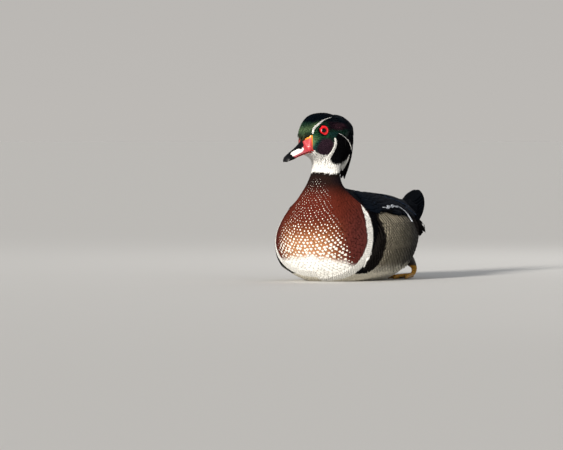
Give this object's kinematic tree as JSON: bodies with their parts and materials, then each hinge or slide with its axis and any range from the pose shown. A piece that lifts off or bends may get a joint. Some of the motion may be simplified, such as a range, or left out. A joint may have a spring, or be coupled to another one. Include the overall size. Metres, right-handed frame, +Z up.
{
  "type": "wood duck drake",
  "caption": "Life-size still model of a crested drake wood duck, resting on its belly with its head turned to its right, wings folded and feet tucked under.",
  "frame": {"origin": "centre of the bounding box at its base, on the floor that the belly rests on", "axes": "+X forward along the body towards the bill, +Y to the bird's left, +Z up"},
  "size_m": [0.285, 0.151, 0.2001],
  "materials": {
    "torso": "soft body feathers",
    "neck": "soft body feathers",
    "head": "glossy feathers",
    "crest": "glossy feathers",
    "bill_upper": "smooth horn",
    "bill_lower": "smooth horn",
    "eye_left": "wet gloss",
    "eye_right": "wet gloss",
    "wing_left": "glossy feathers",
    "wing_right": "glossy feathers",
    "flank_left": "soft feathers",
    "flank_right": "soft feathers",
    "leg_left": "scaled skin",
    "leg_right": "scaled skin",
    "foot_left": "scaled skin",
    "foot_right": "scaled skin",
    "tail": "stiff feathers"
  },
  "bodies": {
    "root": {"torso": "torso", "neck": "neck", "head": "head", "crest": "crest", "bill_upper": "bill_upper", "bill_lower": "bill_lower", "eye_left": "eye_left", "eye_right": "eye_right", "wing_left": "wing_left", "wing_right": "wing_right", "flank_left": "flank_left", "flank_right": "flank_right", "leg_left": "leg_left", "leg_right": "leg_right", "foot_left": "foot_left", "foot_right": "foot_right", "tail": "tail"}
  },
  "joints": []
}
